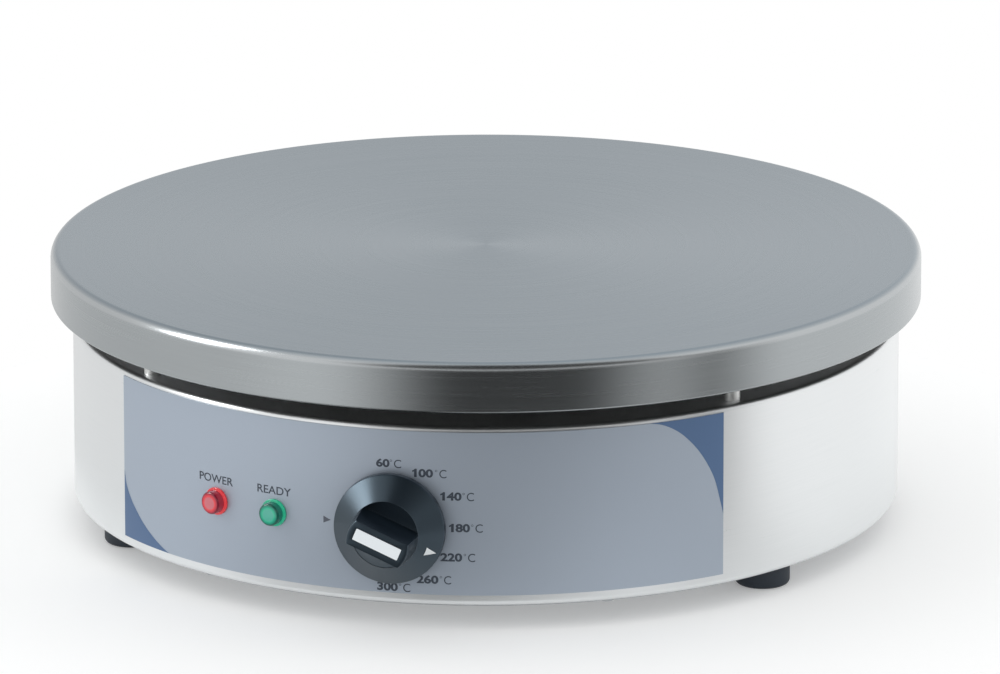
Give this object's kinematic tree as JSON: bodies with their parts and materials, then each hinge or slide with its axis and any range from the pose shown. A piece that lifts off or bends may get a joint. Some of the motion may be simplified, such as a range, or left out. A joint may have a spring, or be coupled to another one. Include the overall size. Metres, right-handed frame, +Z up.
{
  "type": "electric crepe maker",
  "caption": "Countertop crepe griddle: a round cast hot plate on a drum-shaped steel body with a thermostat knob, pilot lights, an overheat limiter and rubber feet.",
  "frame": {"origin": "under the centre of the griddle plate, at the level of the table", "axes": "+Z up, the knob and the panel face -Y, the cable gland faces +Y, +X to the right seen from the front"},
  "size_m": [0.4, 0.4399, 0.127],
  "materials": {
    "cast_plate": "machined and seasoned, satin grey",
    "stainless": "brushed stainless sheet",
    "bright_steel": "bright turned steel",
    "zinc": "zinc plated steel",
    "panel_film": "printed matt film",
    "knob_black": "satin black moulding",
    "white_plastic": "white moulding",
    "red_lens": "clear red moulding",
    "green_lens": "clear green moulding",
    "black_plastic": "black moulding",
    "red_plastic": "red moulding",
    "neon_glass": "clear glass tube",
    "rubber": "black moulded rubber",
    "steatite": "unglazed steatite",
    "element_sheath": "oxidised steel sheath",
    "mineral_wool": "pressed mineral wool",
    "copper": "drawn copper",
    "spring_steel": "bright spring wire",
    "wire_sleeve": "sleeved heat-proof wire"
  },
  "bodies": {
    "body": {"griddle_plate": "cast_plate", "heating_element": "element_sheath", "element_terminals": "zinc", "element_insulators": "steatite", "element_clamp": "zinc", "insulation_pad": "mineral_wool", "heat_shield": "stainless", "clamp_studs": "zinc", "clamp_nuts": "zinc", "shield_nuts": "zinc", "bulb_clip": "zinc", "bulb_clip_screw": "zinc", "thermostat_bulb": "copper", "limiter_bulb": "copper", "thermostat_capillary": "copper", "limiter_capillary": "copper", "post_front_left": "bright_steel", "post_front_right": "bright_steel", "post_rear_left": "bright_steel", "post_rear_right": "bright_steel", "post_studs": "zinc", "post_nuts": "zinc", "body_shell": "stainless", "base_plate": "zinc", "base_screws": "zinc", "control_panel": "panel_film", "thermostat_body": "steatite", "thermostat_bracket": "zinc", "thermostat_screws": "zinc", "red_lens": "red_lens", "red_lamp_holder": "black_plastic", "red_neon": "neon_glass", "green_lens": "green_lens", "green_lamp_holder": "black_plastic", "green_neon": "neon_glass", "lamp_retainers": "zinc", "limiter_body": "black_plastic", "limiter_bushing": "zinc", "limiter_nut": "zinc", "reset_spring": "spring_steel", "terminal_block": "white_plastic", "terminal_screws": "zinc", "earth_bolt": "zinc", "gland_body": "black_plastic", "gland_washer": "rubber", "gland_seal": "rubber", "gland_cap": "black_plastic", "gland_locknut": "black_plastic", "foot_front_left": "rubber", "foot_front_right": "rubber", "foot_rear": "rubber", "foot_screws": "zinc", "foot_nuts": "zinc", "supply_wires": "wire_sleeve", "control_wires": "wire_sleeve", "rear_plate": "bright_steel"},
    "knob": {"thermostat_knob": "knob_black", "knob_insert": "white_plastic", "thermostat_shaft": "bright_steel"},
    "reset": {"reset_button": "red_plastic"}
  },
  "joints": [
    {"name": "thermostat_turn", "type": "hinge", "parent": "body", "child": "knob", "pos_m": [0, -0.19, 0.0484], "axis": [0, 1, 0], "range_deg": [-203, 67]},
    {"name": "reset_press", "type": "slide", "parent": "body", "child": "reset", "axis": [0, 0, 1], "range_m": [0, 0.002], "stiffness_N_per_m": 400, "springref_m": -0.004, "deforming": ["reset_spring"]}
  ]
}
